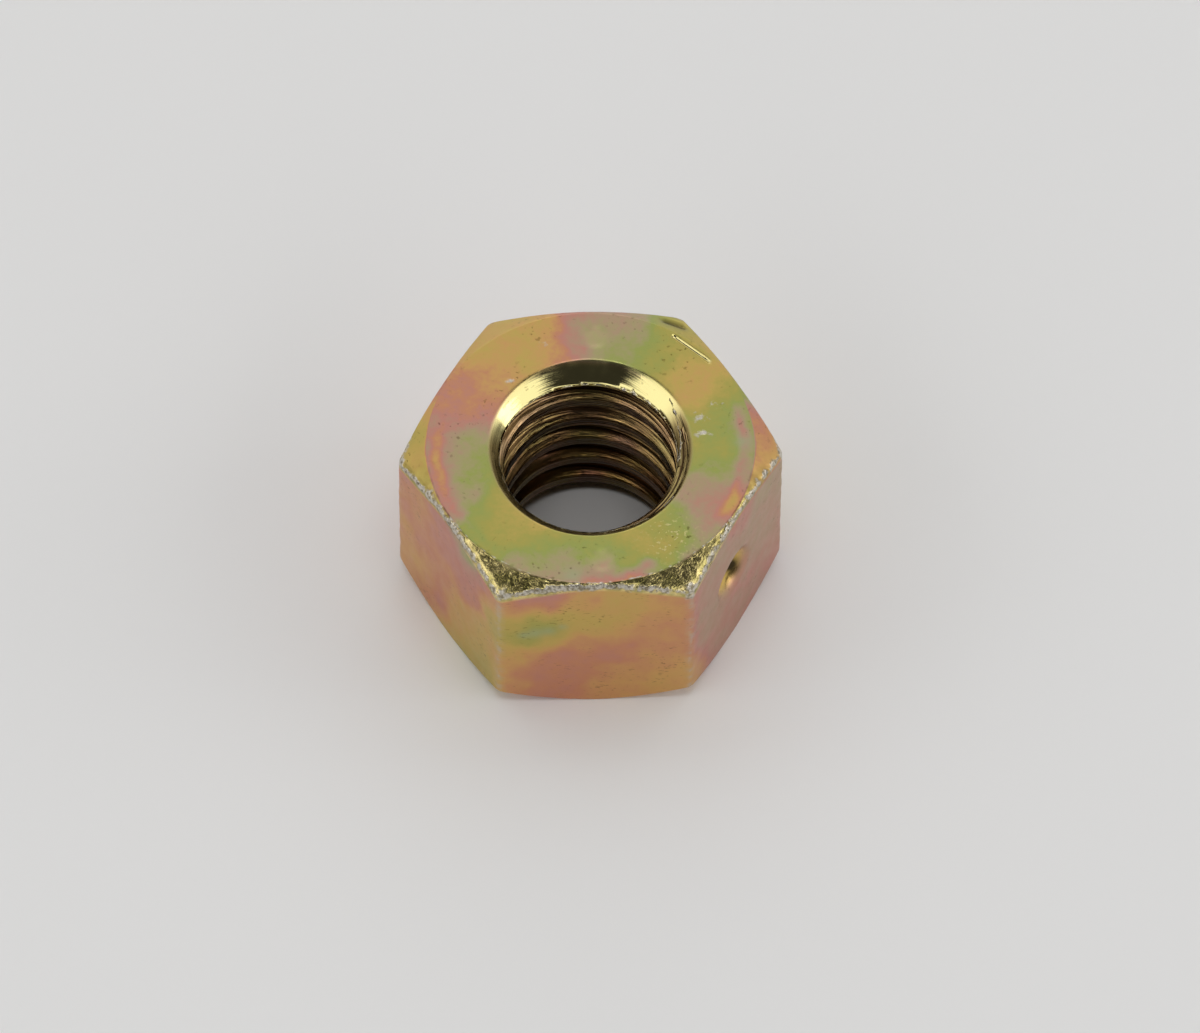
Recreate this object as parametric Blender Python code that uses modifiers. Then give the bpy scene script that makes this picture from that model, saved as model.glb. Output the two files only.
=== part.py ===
"""An all-metal lock nut, M6 x 1, in metres, standing on its bearing face with +Z up.

It is one piece of plated steel. The hexagon is chamfered at both ends, the right-hand
thread is countersunk at both ends, and two opposite flats were dented by a punch at
mid height, which presses the thread slightly out of round there so that it grips a bolt.
The axis of the thread is Z, and two of the six corners lie on X.
"""
from math import atan2, cos, exp, hypot, pi, radians, sin, sqrt, tan

import bmesh
import bpy
from mathutils import Matrix

MM = 0.001

# Hexagon
ACROSS_FLATS = 9.86 * MM
HEIGHT = 6.0 * MM
EDGE_RADIUS = 0.22 * MM

# Chamfers: each end face is a disc whose rim lies this far inside the flats
TOP_FACE_INSET = 0.13 * MM
TOP_CHAMFER_ANGLE = radians(31)
BEARING_FACE_INSET = 0.03 * MM
BEARING_CHAMFER_ANGLE = radians(35)

# Thread: the crest leaves the bearing face at THREAD_START, measured from +X
THREAD_DIAMETER = 6.0 * MM
THREAD_PITCH = 1.0 * MM
FLANK_ANGLE = radians(30)
DRILL_OVERSIZE = 0.18 * MM
THREAD_START = radians(222)

# Countersinks: the mouth is this much wider than the thread, and the bearing face's is flatter
COUNTERSINK_MARGIN = 0.04 * MM
TOP_COUNTERSINK_ANGLE = radians(90)
BEARING_COUNTERSINK_ANGLE = radians(120)
LIP_RADIUS = 0.2 * MM

# Dents in two opposite flats, placed from the middle of the flat
DENT_FLAT_ANGLES = (radians(330), radians(150))
DENT_WIDTH = 1.9 * MM
DENT_HEIGHT = 1.55 * MM
DENT_DEPTH = 0.35 * MM
DENT_RIM_RADIUS = 0.25 * MM
DENT_SIDE_SHIFT = -0.22 * MM
DENT_RISE = 0.15 * MM
SQUEEZE_DEPTH = 0.12 * MM
SQUEEZE_REACH = 1.1 * MM

# Plain marks struck in the top face: a bar by the rim, and two round punch marks that stand
# in the ring between the countersink's lip and the rim
BAR_ANGLE = radians(48)
BAR_INSET = 0.18 * MM
BAR_LENGTH = 1.55 * MM
BAR_WIDTH = 0.28 * MM
MARK_DEPTH = 0.07 * MM
BACK_MARK_ANGLE = radians(86)
FRONT_MARK_ANGLE = radians(273)
ROUND_MARK_MARGIN = 0.3 * MM

# Facets
TURNED_STEPS = 96
THREAD_STEPS = 72
EDGE_SEGMENTS = 4
LIP_STEPS = 3
DENT_STEPS = 32
DENT_RIM_STEPS = 3
DENT_FLOOR_STEPS = 7
MARK_STEPS = 20
MARK_RIM_STEPS = 1
MARK_FLOOR_STEPS = 2
MERGE_DISTANCE = 0.0001 * MM
SLIVER = 0.001 * MM
OVERCUT = 0.5 * MM

COLOUR = (0.60, 0.47, 0.26, 1.0)
ROUGHNESS = 0.32
SMOOTH_ANGLE = radians(20)

FLAT_DISTANCE = ACROSS_FLATS / 2
CORNER_DISTANCE = ACROSS_FLATS / sqrt(3)
TOP_FACE_RADIUS = FLAT_DISTANCE - TOP_FACE_INSET
BEARING_FACE_RADIUS = FLAT_DISTANCE - BEARING_FACE_INSET
MAJOR_RADIUS = THREAD_DIAMETER / 2
MINOR_RADIUS = MAJOR_RADIUS - 5 / 8 * THREAD_PITCH / (2 * tan(FLANK_ANGLE)) + DRILL_OVERSIZE / 2
MOUTH_RADIUS = MAJOR_RADIUS + COUNTERSINK_MARGIN / 2
ROOT_FLAT = THREAD_PITCH / 8


def clear_scene():
    """Remove every object of the open scene."""
    for item in list(bpy.data.objects):
        bpy.data.objects.remove(item, do_unlink=True)


def new_collection(name):
    """Make a collection and show it in the scene."""
    collection = bpy.data.collections.new(name)
    bpy.context.scene.collection.children.link(collection)
    return collection


def mesh_object(name, shape, collection):
    """Make an object of a bmesh, which is freed."""
    mesh = bpy.data.meshes.new(name)
    shape.to_mesh(mesh)
    shape.free()
    item = bpy.data.objects.new(name, mesh)
    collection.objects.link(item)
    return item


def hide_as_cutter(item):
    """Mark an object as a tool that cuts and isn't part of the nut."""
    item.hide_render = True
    item.display_type = "WIRE"


def arc(centre, radius, start, end, steps):
    """List the points of an arc in the (radius, height) plane, both ends included."""
    angles = [start + (end - start) * step / steps for step in range(steps + 1)]
    return [(centre[0] + radius * cos(a), centre[1] + radius * sin(a)) for a in angles]


def rim_arc(centre, radius, wall_angle, steps):
    """List a rim's rounded edge, which leaves a flat face and turns down by wall_angle.

    Its first facet runs on past the face, so that a cutter crosses the face there.
    """
    (start_radius, start_height), *rest = arc(centre, radius, pi / 2, pi / 2 + wall_angle, steps)
    next_radius, next_height = rest[0]
    run_on = (
        start_radius + (start_radius - next_radius) / 2,
        start_height + (start_height - next_height) / 2,
    )
    return [run_on] + rest


def turned(name, profile, steps, collection):
    """Turn a profile of (radius, height) points, listed from top to bottom, about Z."""
    shape = bmesh.new()
    points = [shape.verts.new((radius, 0, height)) for radius, height in profile]
    for upper, lower in zip(points, points[1:]):
        shape.edges.new((upper, lower))
    item = mesh_object(name, shape, collection)
    turn = item.modifiers.new("Turn", "SCREW")
    turn.steps = turn.render_steps = steps
    turn.use_merge_vertices = True
    turn.merge_threshold = MERGE_DISTANCE
    return item


def hexagon(collection):
    """Make the hexagonal bar, longer than the nut, with its upright edges rounded."""
    shape = bmesh.new()
    bmesh.ops.create_cone(
        shape,
        cap_ends=True,
        segments=6,
        radius1=CORNER_DISTANCE,
        radius2=CORNER_DISTANCE,
        depth=HEIGHT + 2 * OVERCUT,
        matrix=Matrix.Translation((0, 0, HEIGHT / 2)) @ Matrix.Rotation(radians(30), 4, "Z"),
    )
    weights = shape.edges.layers.float.new("bevel_weight_edge")
    for edge in shape.edges:
        lower, upper = edge.verts
        edge[weights] = 1.0 if abs(upper.co.z - lower.co.z) > HEIGHT / 2 else 0.0
    item = mesh_object("lock_nut", shape, collection)
    rounding = item.modifiers.new("Rounded edges", "BEVEL")
    rounding.limit_method = "WEIGHT"
    rounding.width = EDGE_RADIUS * tan(radians(30))
    rounding.segments = EDGE_SEGMENTS
    return item


def chamfered_envelope(collection):
    """Make the turned form that gives both end faces and their chamfers."""
    outer = CORNER_DISTANCE + OVERCUT
    top_drop = (outer - TOP_FACE_RADIUS) * tan(TOP_CHAMFER_ANGLE)
    bearing_rise = (outer - BEARING_FACE_RADIUS) * tan(BEARING_CHAMFER_ANGLE)
    profile = [
        (0, HEIGHT),
        (TOP_FACE_RADIUS, HEIGHT),
        (outer, HEIGHT - top_drop),
        (outer, bearing_rise),
        (BEARING_FACE_RADIUS, 0),
        (0, 0),
    ]
    return turned("chamfered_envelope", profile, TURNED_STEPS, collection)


def squeeze(point):
    """Press a point of the thread inwards where it lies behind a dent."""
    radius = hypot(point.x, point.y)
    angle = atan2(point.y, point.x)
    inward = 0.0
    for dent_angle in DENT_FLAT_ANGLES:
        along = radius * sin(angle - dent_angle) - DENT_SIDE_SHIFT
        above = point.z - HEIGHT / 2 - DENT_RISE
        if cos(angle - dent_angle) > 0:
            inward += SQUEEZE_DEPTH * exp(-(along**2 + above**2) / SQUEEZE_REACH**2)
    point.xy *= (radius - inward) / radius


def thread_cutter(collection):
    """Make the tap: one pitch of the thread's profile swept up a right-hand helix.

    It runs past both faces, and each end is closed by a fan of faces to the axis.
    """
    root_half = ROOT_FLAT / 2
    mouth_half = root_half + (MAJOR_RADIUS - MINOR_RADIUS) * tan(FLANK_ANGLE)
    middle = THREAD_PITCH / 2
    profile = [
        (MINOR_RADIUS, THREAD_PITCH),
        (MINOR_RADIUS, middle + mouth_half),
        (MAJOR_RADIUS, middle + root_half),
        (MAJOR_RADIUS, middle - root_half),
        (MINOR_RADIUS, middle - mouth_half),
        (MINOR_RADIUS, 0),
    ]
    sweep = turned("thread_sweep", profile, THREAD_STEPS, collection)
    turns_below = 2
    helix = sweep.modifiers["Turn"]
    helix.screw_offset = THREAD_PITCH
    helix.iterations = int(HEIGHT / THREAD_PITCH) + 2 * turns_below + 1

    evaluated = sweep.evaluated_get(bpy.context.evaluated_depsgraph_get())
    mesh = bpy.data.meshes.new_from_object(evaluated)
    bpy.data.objects.remove(sweep, do_unlink=True)

    shape = bmesh.new()
    shape.from_mesh(mesh)
    bpy.data.meshes.remove(mesh)
    bmesh.ops.remove_doubles(shape, verts=shape.verts[:], dist=MERGE_DISTANCE)
    bottom = min(vertex.co.z for vertex in shape.verts)
    top = max(vertex.co.z for vertex in shape.verts)
    ends = [
        (shape.verts.new((0, 0, bottom - THREAD_PITCH)), bottom + THREAD_PITCH),
        (shape.verts.new((0, 0, top + THREAD_PITCH)), top - THREAD_PITCH),
    ]
    for edge in [edge for edge in shape.edges if edge.is_boundary]:
        height = (edge.verts[0].co.z + edge.verts[1].co.z) / 2
        tip = ends[0][0] if height <= ends[0][1] else ends[1][0]
        shape.faces.new((edge.verts[0], edge.verts[1], tip))
    bmesh.ops.recalc_face_normals(shape, faces=shape.faces[:])

    lower = Matrix.Translation((0, 0, -turns_below * THREAD_PITCH))
    turn = Matrix.Rotation(THREAD_START, 4, "Z")
    bmesh.ops.transform(shape, matrix=turn @ lower, verts=shape.verts[:])
    for vertex in shape.verts:
        if hypot(vertex.co.x, vertex.co.y) > MINOR_RADIUS / 2:
            squeeze(vertex.co)
    return mesh_object("thread_cutter", shape, collection)


def lip_outer_radius(countersink_angle):
    """Work out where the rounded lip of a countersink meets the end face."""
    wall_angle = (pi - countersink_angle) / 2
    return MOUTH_RADIUS + LIP_RADIUS * tan(wall_angle / 2)


def countersink_cutter(name, angle, collection):
    """Make the cone that opens the top of the thread, with a rounded lip."""
    centre = (lip_outer_radius(angle), HEIGHT - LIP_RADIUS)
    lip = rim_arc(centre, LIP_RADIUS, (pi - angle) / 2, LIP_STEPS)
    profile = [(0, HEIGHT + OVERCUT), (lip[0][0], HEIGHT + OVERCUT)]
    profile += lip
    profile += [(0, HEIGHT - MOUTH_RADIUS / tan(angle / 2))]
    return turned(name, profile, TURNED_STEPS, collection)


def dish_profile(radius, depth, rim_radius, rim_steps, floor_steps):
    """List the profile of a round dish sunk from height 0, with a rounded rim."""
    floor_radius = (radius**2 + depth**2) / (2 * depth)
    wall_angle = atan2(radius, floor_radius - depth)
    rim_reach = rim_radius * tan(wall_angle / 2)
    rim_centre = (radius + rim_reach, -rim_radius)
    rim = rim_arc(rim_centre, rim_radius, wall_angle, rim_steps)
    floor_start = atan2(rim[-1][1] - floor_radius + depth, rim[-1][0])
    floor = arc((0, floor_radius - depth), floor_radius, floor_start, -pi / 2, floor_steps)
    return [(0, OVERCUT), (rim[0][0], OVERCUT)] + rim + floor[1:-1] + [(0, -depth)]


def dent_cutter(name, flat_angle, collection):
    """Make the punch that dents one flat: an oval dish square to the flat."""
    profile = dish_profile(
        DENT_HEIGHT / 2, DENT_DEPTH, DENT_RIM_RADIUS, DENT_RIM_STEPS, DENT_FLOOR_STEPS
    )
    item = turned(name, profile, DENT_STEPS, collection)
    stretch = Matrix.Diagonal((1, DENT_WIDTH / DENT_HEIGHT, 1, 1))
    outward = Matrix.Rotation(pi / 2, 4, "Y")
    in_flat = Matrix.Translation((FLAT_DISTANCE, DENT_SIDE_SHIFT, HEIGHT / 2 + DENT_RISE))
    item.matrix_world = Matrix.Rotation(flat_angle, 4, "Z") @ in_flat @ outward @ stretch
    return item


def round_mark_cutter(name, angle, collection):
    """Make the tool for one shallow round mark, in the middle of the top face's ring."""
    lip_radius = lip_outer_radius(TOP_COUNTERSINK_ANGLE)
    mark_radius = (TOP_FACE_RADIUS - lip_radius) / 2 - ROUND_MARK_MARGIN
    profile = dish_profile(
        mark_radius, MARK_DEPTH, MARK_DEPTH, MARK_RIM_STEPS, MARK_FLOOR_STEPS
    )
    item = turned(name, profile, MARK_STEPS, collection)
    ring_middle = (TOP_FACE_RADIUS + lip_radius) / 2
    item.location = (ring_middle * cos(angle), ring_middle * sin(angle), HEIGHT)
    return item


def bar_cutter(collection):
    """Make the tool for the bar struck beside the rim, square to the radius."""
    shape = bmesh.new()
    bmesh.ops.create_cone(
        shape,
        cap_ends=True,
        segments=MARK_STEPS,
        radius1=BAR_WIDTH / 2 - MARK_DEPTH,
        radius2=BAR_WIDTH / 2 + OVERCUT,
        depth=MARK_DEPTH + OVERCUT,
        matrix=Matrix.Translation((0, 0, (OVERCUT - MARK_DEPTH) / 2)),
    )
    half_straight = (BAR_LENGTH - BAR_WIDTH) / 2
    for vertex in shape.verts:
        vertex.co.y += half_straight if vertex.co.y > 0 else -half_straight
    item = mesh_object("bar_cutter", shape, collection)
    radius = TOP_FACE_RADIUS - BAR_INSET
    item.location = (radius * cos(BAR_ANGLE), radius * sin(BAR_ANGLE), HEIGHT)
    item.rotation_euler.z = BAR_ANGLE
    return item


def apply_boolean(item, cutter, operation):
    """Add one Boolean modifier, named after its cutter."""
    hide_as_cutter(cutter)
    change = item.modifiers.new(cutter.name, "BOOLEAN")
    change.solver = "EXACT"
    change.operation = operation
    change.object = cutter


def finish_mesh(item):
    """Make the modifiers' result the object's own mesh, and shade it with crisp edges."""
    evaluated = item.evaluated_get(bpy.context.evaluated_depsgraph_get())
    shape = bmesh.new()
    shape.from_mesh(evaluated.to_mesh())
    bmesh.ops.remove_doubles(shape, verts=shape.verts[:], dist=SLIVER)
    bmesh.ops.dissolve_degenerate(shape, edges=shape.edges[:], dist=SLIVER)
    item.modifiers.clear()
    shape.to_mesh(item.data)
    shape.free()
    item.data.shade_smooth()
    item.data.set_sharp_from_angle(angle=SMOOTH_ANGLE)


def plated_steel():
    """Make the material of yellow zinc plating over steel."""
    material = bpy.data.materials.new("yellow_zinc_steel")
    material.use_nodes = True
    shader = material.node_tree.nodes["Principled BSDF"]
    shader.inputs["Base Color"].default_value = COLOUR
    shader.inputs["Metallic"].default_value = 1.0
    shader.inputs["Roughness"].default_value = ROUGHNESS
    return material


def build():
    """Model the nut."""
    clear_scene()
    parts = new_collection("all_metal_lock_nut")
    cutters = new_collection("cutters")

    nut = hexagon(parts)
    apply_boolean(nut, chamfered_envelope(cutters), "INTERSECT")
    apply_boolean(nut, thread_cutter(cutters), "DIFFERENCE")
    top_countersink = countersink_cutter("top_countersink", TOP_COUNTERSINK_ANGLE, cutters)
    bearing_countersink = countersink_cutter(
        "bearing_countersink", BEARING_COUNTERSINK_ANGLE, cutters
    )
    bearing_countersink.location.z = HEIGHT
    bearing_countersink.rotation_euler.x = pi
    cuts = [top_countersink, bearing_countersink]
    for number, flat_angle in enumerate(DENT_FLAT_ANGLES, 1):
        cuts.append(dent_cutter(f"dent_{number}", flat_angle, cutters))
    cuts.append(bar_cutter(cutters))
    cuts.append(round_mark_cutter("back_mark", BACK_MARK_ANGLE, cutters))
    cuts.append(round_mark_cutter("front_mark", FRONT_MARK_ANGLE, cutters))
    for cutter in cuts:
        apply_boolean(nut, cutter, "DIFFERENCE")

    finish_mesh(nut)
    nut.data.materials.append(plated_steel())


build()
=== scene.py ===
"""The looks of the plated lock nut: its fine surface, its finish, the studio and the camera.

Shapes are worked out in millimetres, in the frame's own axes, and made in metres. A grid of
columns round the axis and rows along the nut's section gives one closed mesh. Every dent, mark
and worn edge only takes metal away, so the mesh stays inside the solid that it stands for.
"""

from math import cos, pi, radians, sin, tan

import bpy
import numpy as np
from mathutils import Matrix, Vector, noise

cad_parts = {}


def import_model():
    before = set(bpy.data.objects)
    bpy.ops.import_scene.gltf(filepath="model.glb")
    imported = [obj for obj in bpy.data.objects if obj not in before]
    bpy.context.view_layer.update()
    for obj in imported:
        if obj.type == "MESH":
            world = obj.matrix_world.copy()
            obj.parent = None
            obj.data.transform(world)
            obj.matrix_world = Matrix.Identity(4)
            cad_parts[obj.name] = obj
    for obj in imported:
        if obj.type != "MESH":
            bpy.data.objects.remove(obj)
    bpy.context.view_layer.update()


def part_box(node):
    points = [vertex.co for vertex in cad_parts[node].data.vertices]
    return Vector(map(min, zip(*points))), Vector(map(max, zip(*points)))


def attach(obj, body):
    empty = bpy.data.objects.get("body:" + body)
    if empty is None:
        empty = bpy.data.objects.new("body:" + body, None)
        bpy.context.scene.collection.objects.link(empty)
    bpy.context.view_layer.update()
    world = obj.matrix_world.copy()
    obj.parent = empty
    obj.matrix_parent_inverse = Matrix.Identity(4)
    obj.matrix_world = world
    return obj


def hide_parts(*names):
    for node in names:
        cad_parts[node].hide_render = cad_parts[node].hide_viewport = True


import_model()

MM = 0.001
UP = np.array((0, 0, 1))
FRONT = radians(270)
BACK = radians(90)

# Sizes of the nut, as in the solid
LOW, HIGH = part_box("lock_nut")
HEIGHT = (HIGH.z - LOW.z) / MM
FLAT_DISTANCE = (HIGH.y - LOW.y) / 2 / MM
UPRIGHT_EDGE_RADIUS = 0.24
TOP_FACE_RADIUS = FLAT_DISTANCE - 0.13
TOP_CHAMFER_SLOPE = tan(radians(31))
BEARING_FACE_RADIUS = FLAT_DISTANCE - 0.03
BEARING_CHAMFER_SLOPE = tan(radians(35))
MOUTH_RADIUS = 3.02
TOP_CONE_DEPTH = 0.47
BEARING_CONE_SLOPE = tan(radians(60))

# The top mouth's oval, and the roundings
MOUTH_OVALITY = 0.14
LIP_RADIUS = 0.14
SOFT_LIP_RADIUS = 0.38
TOP_RIM_RADIUS = 0.05
TOP_EDGE_RADIUS = 0.08
WORN_EDGE_RADIUS = 0.22
BEARING_EDGE_RADIUS = 0.08
BEARING_RIM_RADIUS = 0.06

# Thread
MAJOR_RADIUS = 3.0
MINOR_RADIUS = 2.549
PITCH = 1.0
ROOT_HALF = PITCH / 16
FLANK_RUN = (MAJOR_RADIUS - MINOR_RADIUS) * tan(radians(30))
CREST_HALF = PITCH / 2 - ROOT_HALF - FLANK_RUN
CREST_ROUNDING = 0.03
THREAD_START = radians(222)
THREAD_TURNS = 8
RUN_OUT = 0.25

# Dents in two opposite flats
FLAT_ANGLES = [radians(30 + 60 * number) for number in range(6)]
DENTED_FLATS = (FLAT_ANGLES[5], FLAT_ANGLES[2])
DENT_HALF_WIDTH = 0.95
DENT_HALF_HEIGHT = 0.775
DENT_DEPTH = 0.45
DENT_SOFTNESS = 0.14
DENT_SHIFT = -0.22
DENT_LEVEL = HEIGHT / 2 + 0.15
SQUEEZE_DEPTH = 0.12
SQUEEZE_REACH = 1.1

# Painted shade at the bottom of each dent
DENT_SHADE_SHIFT = 0.15
DENT_SHADE_LEVEL = 2.84
DENT_SHADE_REACH = 0.24
DENT_SHADE_AMOUNT = 1.3

# Painted shade at the back of the thread
BACK_THREAD_SHADE = 0.9
BACK_THREAD_SHADE_REACH = radians(32)

# Plain marks in the top face
BAR_ANGLE = radians(48)
BAR_RADIUS = TOP_FACE_RADIUS - 0.18
BAR_HALF_LENGTH = 0.775
BAR_HALF_WIDTH = 0.085
MARK_DEPTH = 0.07
MARK_ANGLES = (radians(86), radians(273))
MARK_RADIUS = 0.55
MARK_WALL = 0.4
MARK_GAP = 0.14
MARK_POLISH = 0.12

# A nick across the chamfer of the back right corner
NICK_START = np.array((2.37, 4.64))
NICK_END = np.array((2.87, 4.44))
NICK_HALF_WIDTH = 0.12
NICK_DEPTH = 0.1
# How much painted shade darkens the nick
NICK_SHADE = 0.8

# Wear: how far it reaches from an edge, and how deep it goes
EDGE_REACH = 0.15
EDGE_SWAY = 0.08
EDGE_DEPTH = 0.06
TIP_REACH = 0.28
TIP_HALF_LENGTH = 0.24
EDGE_WEAR_IN = 0.5
EDGE_WEAR_DOWN = 0.85
COARSE_SCUFF_DEPTH = 0.007
FINE_SCUFF_DEPTH = 0.0008
UPRIGHT_REACH = 0.11
UPRIGHT_DEPTH = 0.02
SIDE_SWAY_DEPTH = 0.012
TOP_SWAY_DEPTH = 0.008

# Wear: how bare the metal is, before the ragged noise that breaks up its borders
EDGE_WEAR = 0.8
RIM_WEAR = 0.42
CHIP_WEAR = 0.62
THREAD_EDGE_WEAR = 0.55
# Extra bare metal along the front thread edge, painted as a bright highlight line
FRONT_THREAD_EDGE_HIGHLIGHT = 0.4

# Grid
CORNER_COLUMNS = 5
PLAIN_COLUMNS = 45
DENTED_COLUMNS = 72
LIP_STEPS = 6
RIM_STEPS = 4
TOP_EDGE_STEPS = 6
BEARING_RIM_STEPS = 3
CHAMFER_ROWS = 9
SIDE_ROWS = 56
BEARING_CHAMFER_ROWS = 4
BEARING_FACE_ROWS = 6
SEAM_TOLERANCE = 0.004
COLUMN_CROWDING, COLUMN_CROWDING_REACH = 1.5, 1.1
ROW_CROWDING, ROW_CROWDING_REACH = 2, 0.8

# The zones that share a treatment
TOP_ZONES = ("top_face", "top_rim")
SIDE_ZONES = ("side", "top_edge", "bearing_edge")
CHAMFER_ZONES = ("chamfer", "top_edge")


def smooth_step(value, low, high):
    """Rise from 0 at low to 1 at high without a corner."""
    share = np.clip((value - low) / (high - low), 0, 1)
    return share * share * (3 - 2 * share)


def bell(value, reach):
    """Fall from 1 at 0 towards 0 a few reaches away."""
    return np.exp(-((value / reach) ** 2))


def ripple(points, size, seed):
    """Sample smooth noise, whose lumps are about size wide, at each point."""
    shift = Vector((seed * 7.31, seed * 3.17, seed * 5.71))
    flat = points.reshape(-1, 3) / size
    values = [noise.noise(Vector(point) + shift) for point in flat]
    return np.array(values).reshape(points.shape[:-1])


def raised_ripple(points, size, seed, base=0.5, gain=1.0):
    """Sample the noise round a base, with nothing below 0."""
    return np.clip(base + gain * ripple(points, size, seed), 0, None)


def angle_between(angle, other):
    """Give the signed turn from other to angle, between -pi and pi."""
    return (angle - other + pi) % (2 * pi) - pi


def from_axis(points):
    """Distance of each point from the axis."""
    return np.hypot(points[..., 0], points[..., 1])


# The grid's columns


def column_angles():
    """Place the columns flat by flat: crowded round the upright edges and beside the dents."""
    half_side = (FLAT_DISTANCE - UPRIGHT_EDGE_RADIUS) * tan(pi / 6)
    along = np.linspace(-half_side, half_side, 400)
    columns = []
    for flat_angle in FLAT_ANGLES:
        dented = flat_angle in DENTED_FLATS
        density = 1 + dented * COLUMN_CROWDING * bell(along - DENT_SHIFT, COLUMN_CROWDING_REACH)
        share = np.cumsum(density)
        share = (share - share[0]) / (share[-1] - share[0])
        count = DENTED_COLUMNS if dented else PLAIN_COLUMNS
        turns = np.arctan2(np.interp(np.linspace(0, 1, count), share, along), FLAT_DISTANCE)
        edge = np.linspace(turns[-1], pi / 6, CORNER_COLUMNS + 1)[1:]
        columns += [flat_angle - edge[-2::-1], flat_angle + turns, flat_angle + edge]
    return np.concatenate(columns)


def hexagon_radius(angle):
    """Distance from the axis to the hexagon with rounded corners."""
    turn = np.abs(angle % (pi / 3) - pi / 6)
    from_corner = pi / 6 - turn
    centre = (FLAT_DISTANCE - UPRIGHT_EDGE_RADIUS) / cos(pi / 6)
    inside = UPRIGHT_EDGE_RADIUS**2 - (centre * np.sin(from_corner)) ** 2
    rounded = centre * np.cos(from_corner) + np.sqrt(np.clip(inside, 0, None))
    half_side = (FLAT_DISTANCE - UPRIGHT_EDGE_RADIUS) * tan(pi / 6)
    return np.where(FLAT_DISTANCE * np.tan(turn) > half_side, rounded, FLAT_DISTANCE / np.cos(turn))


# The rows of the section. A row holds a radius and a height for each column.


def rounded_corner(before, corner, after, radius, steps):
    """List the rows that round one corner of the section."""
    to_before, to_after = before - corner, after - corner
    before_length = np.linalg.norm(to_before, axis=-1, keepdims=True)
    after_length = np.linalg.norm(to_after, axis=-1, keepdims=True)
    to_before, to_after = to_before / before_length, to_after / after_length
    inner = np.arccos(np.clip(np.sum(to_before * to_after, axis=-1, keepdims=True), -1, 1))
    reach = radius / np.tan(inner / 2)
    reach = np.minimum(reach, 0.45 * np.minimum(before_length, after_length))
    start, end = corner + to_before * reach, corner + to_after * reach
    rows = []
    for share in np.linspace(0, 1, steps + 1):
        rows.append((1 - share) ** 2 * start + 2 * share * (1 - share) * corner + share**2 * end)
    return rows


def rows_between(start, end, shares):
    """List the rows between two rows, at these shares of the way."""
    return [start + (end - start) * share for share in shares]


def inner_shares(count):
    """Give count even shares between 0 and 1, both left out."""
    return np.linspace(0, 1, count + 2)[1:-1]


def top_face_shares():
    """Crowd the top face's rows towards its rim, where the bar is struck."""
    rim_share = 0.74
    return np.concatenate([np.linspace(0, rim_share, 16)[1:], np.linspace(rim_share, 1, 15)[1:-1]])


def side_shares():
    """Crowd the rows down the side where the dents are."""
    height = np.linspace(HEIGHT - 0.3, 0.1, 300)
    share = np.cumsum(1 + ROW_CROWDING * bell(height - DENT_LEVEL, ROW_CROWDING_REACH))
    share = (share - share[0]) / (share[-1] - share[0])
    return np.interp(inner_shares(SIDE_ROWS), share, np.linspace(0, 1, len(share)))


def top_mouth_radius(angle):
    """Radius of the top countersink's mouth, which is wider from front to back than across."""
    return MOUTH_RADIUS + MOUTH_OVALITY * np.sin(angle) ** 2


def top_edge_height(hexagon):
    """Height at which the top chamfer meets the side, this far from the axis."""
    return HEIGHT - (hexagon - TOP_FACE_RADIUS) * TOP_CHAMFER_SLOPE


def section_corners(angle):
    """List the section's sharp corners, from inside the top countersink to inside the other."""
    hexagon = hexagon_radius(angle)
    bearing_edge = (hexagon - BEARING_FACE_RADIUS) * BEARING_CHAMFER_SLOPE
    points = [
        (MINOR_RADIUS, HEIGHT - TOP_CONE_DEPTH),
        (top_mouth_radius(angle), HEIGHT),
        (TOP_FACE_RADIUS, HEIGHT),
        (hexagon, top_edge_height(hexagon)),
        (hexagon, bearing_edge),
        (BEARING_FACE_RADIUS, 0),
        (MOUTH_RADIUS, 0),
        (MOUTH_RADIUS - 1, 1 / BEARING_CONE_SLOPE),
    ]
    column = np.ones_like(angle)
    return [np.stack([column * radius, column * height], axis=-1) for radius, height in points]


def outer_rows(angle):
    """List the rows from the top countersink's lip, over the outside, to the bearing face's."""
    corners = section_corners(angle)
    lip = (LIP_RADIUS + (SOFT_LIP_RADIUS - LIP_RADIUS) * np.cos(angle) ** 2)[:, None]
    top_edge = (TOP_EDGE_RADIUS + WORN_EDGE_RADIUS * front_share(angle))[:, None]
    roundings = [
        ("top_lip", lip, LIP_STEPS),
        ("top_rim", TOP_RIM_RADIUS, RIM_STEPS),
        ("top_edge", top_edge, TOP_EDGE_STEPS),
        ("bearing_edge", BEARING_EDGE_RADIUS, RIM_STEPS),
        ("bearing_rim", BEARING_RIM_RADIUS, BEARING_RIM_STEPS),
        ("bearing_lip", lip, LIP_STEPS),
    ]
    runs = [
        ("top_face", top_face_shares()),
        ("chamfer", inner_shares(CHAMFER_ROWS)),
        ("side", side_shares()),
        ("bearing_chamfer", inner_shares(BEARING_CHAMFER_ROWS)),
        ("bearing_face", inner_shares(BEARING_FACE_ROWS)),
    ]
    rows, zones = [], []
    for number, (name, radius, steps) in enumerate(roundings):
        rounding = rounded_corner(*corners[number : number + 3], radius, steps)
        if number:
            run, shares = runs[number - 1]
            rows += rows_between(rows[-1], rounding[0], shares)
            zones += [run] * len(shares)
        rows += rounding
        zones += [name] * len(rounding)
    return np.array(rows), zones


def thread_radius(height):
    """Radius of the thread at a height above the middle of a crest."""
    from_crest = np.abs((height + PITCH / 2) % PITCH - PITCH / 2)
    rise = from_crest - CREST_HALF
    soft = np.where(
        np.abs(rise) < CREST_ROUNDING,
        (rise + CREST_ROUNDING) ** 2 / (4 * CREST_ROUNDING),
        np.clip(rise, 0, None),
    )
    return MINOR_RADIUS + np.clip(soft / FLANK_RUN, 0, 1) * (MAJOR_RADIUS - MINOR_RADIUS)


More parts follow.
